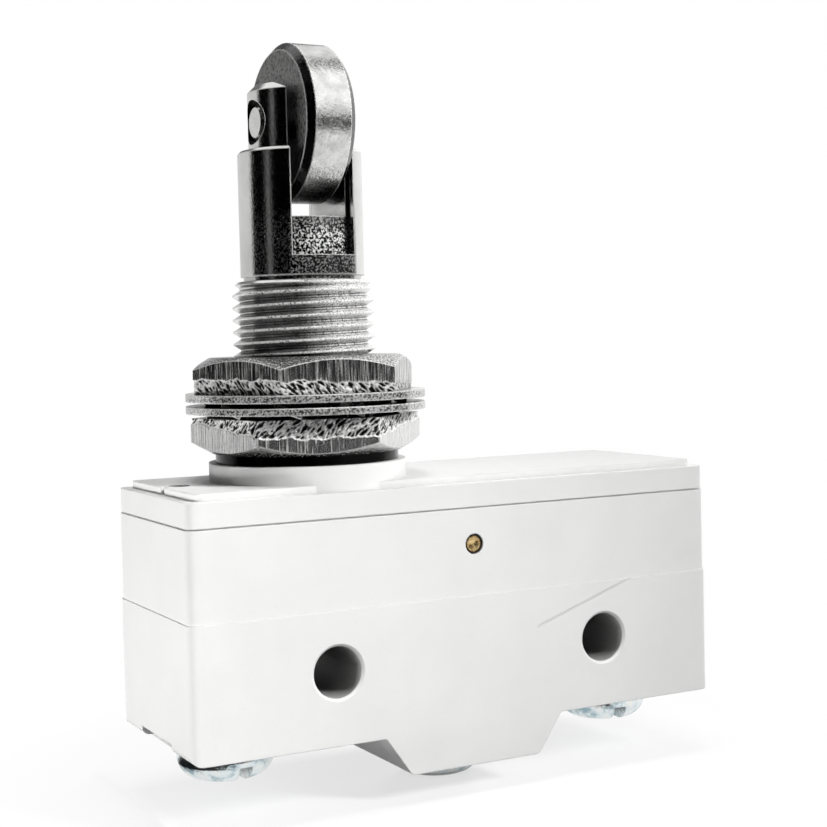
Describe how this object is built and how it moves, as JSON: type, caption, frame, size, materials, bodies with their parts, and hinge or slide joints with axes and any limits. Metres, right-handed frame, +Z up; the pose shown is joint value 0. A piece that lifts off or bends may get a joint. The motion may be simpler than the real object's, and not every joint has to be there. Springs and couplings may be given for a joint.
{
  "type": "roller micro switch",
  "caption": "Panel-mount micro switch: a grey moulded snap-action switch with a threaded bushing, whose sprung plunger carries a cross roller and works the contacts inside.",
  "frame": {"origin": "midway between the two side holes, at half the width of the case", "axes": "+X along the case, away from the bushing; +Y through the side holes; +Z up towards the roller"},
  "size_m": [0.0492, 0.02, 0.0624],
  "materials": {
    "grey_plastic": "moulded light grey, fine grain",
    "nickel_plate": "nickel plate with turning and drawing marks",
    "roller_steel": "sintered steel, ground tread",
    "spring_steel": "drawn and turned steel",
    "zinc_steel": "bright zinc plate, bluish",
    "brass": "rolled brass",
    "silver_contact": "silver rivet",
    "copper_alloy": "rolled spring copper alloy",
    "dark_plastic": "dark brown moulding"
  },
  "bodies": {
    "housing": {"case": "grey_plastic", "cover": "grey_plastic", "cover_pin": "brass", "bushing": "nickel_plate", "lower_nut": "nickel_plate", "toothed_washer": "nickel_plate", "plain_washer": "nickel_plate", "upper_nut": "nickel_plate", "blade_rivet": "brass", "common_terminal": "nickel_plate", "normally_open_terminal": "nickel_plate", "normally_closed_terminal": "nickel_plate", "normally_open_contact": "silver_contact", "normally_closed_contact": "silver_contact", "common_screw": "zinc_steel", "normally_open_screw": "zinc_steel", "normally_closed_screw": "zinc_steel", "common_spring_washer": "zinc_steel", "normally_open_spring_washer": "zinc_steel", "normally_closed_spring_washer": "zinc_steel"},
    "plunger": {"roller_plunger": "nickel_plate", "roller_axle": "roller_steel", "overtravel_spring": "spring_steel"},
    "roller_wheel": {"roller": "roller_steel"},
    "pusher_pin": {"pusher": "spring_steel"},
    "push_button": {"button": "dark_plastic"},
    "blade_arm": {"snap_blade": "copper_alloy", "moving_contact": "silver_contact"}
  },
  "joints": [
    {"name": "plunger_slide", "type": "slide", "parent": "housing", "child": "plunger", "axis": [0, 0, -1], "range_m": [0, 0.0042], "stiffness_N_per_m": 800, "springref_m": -0.003},
    {"name": "roller_spin", "type": "hinge", "parent": "plunger", "child": "roller_wheel", "pos_m": [-0.011, 0, 0.04425], "axis": [1, 0, 0], "continuous": true},
    {"name": "pusher_slide", "type": "slide", "parent": "plunger", "child": "pusher_pin", "axis": [0, 0, 1], "range_m": [0, 0.0037], "deforming": ["overtravel_spring"]},
    {"name": "button_slide", "type": "slide", "parent": "housing", "child": "push_button", "axis": [0, 0, -1], "range_m": [0, 0.00051]},
    {"name": "blade_tip", "type": "hinge", "parent": "housing", "child": "blade_arm", "pos_m": [-0.0184, 0, 0.00783], "axis": [0, 1, 0], "range_deg": [0, 0.86]}
  ],
  "couplings": [
    {"joint": "pusher_slide", "follows": "plunger_slide", "ratio": 0.88},
    {"joint": "button_slide", "follows": "plunger_slide", "ratio": 0.12},
    {"joint": "blade_tip", "follows": "plunger_slide", "rad_per_m": 3.5}
  ]
}
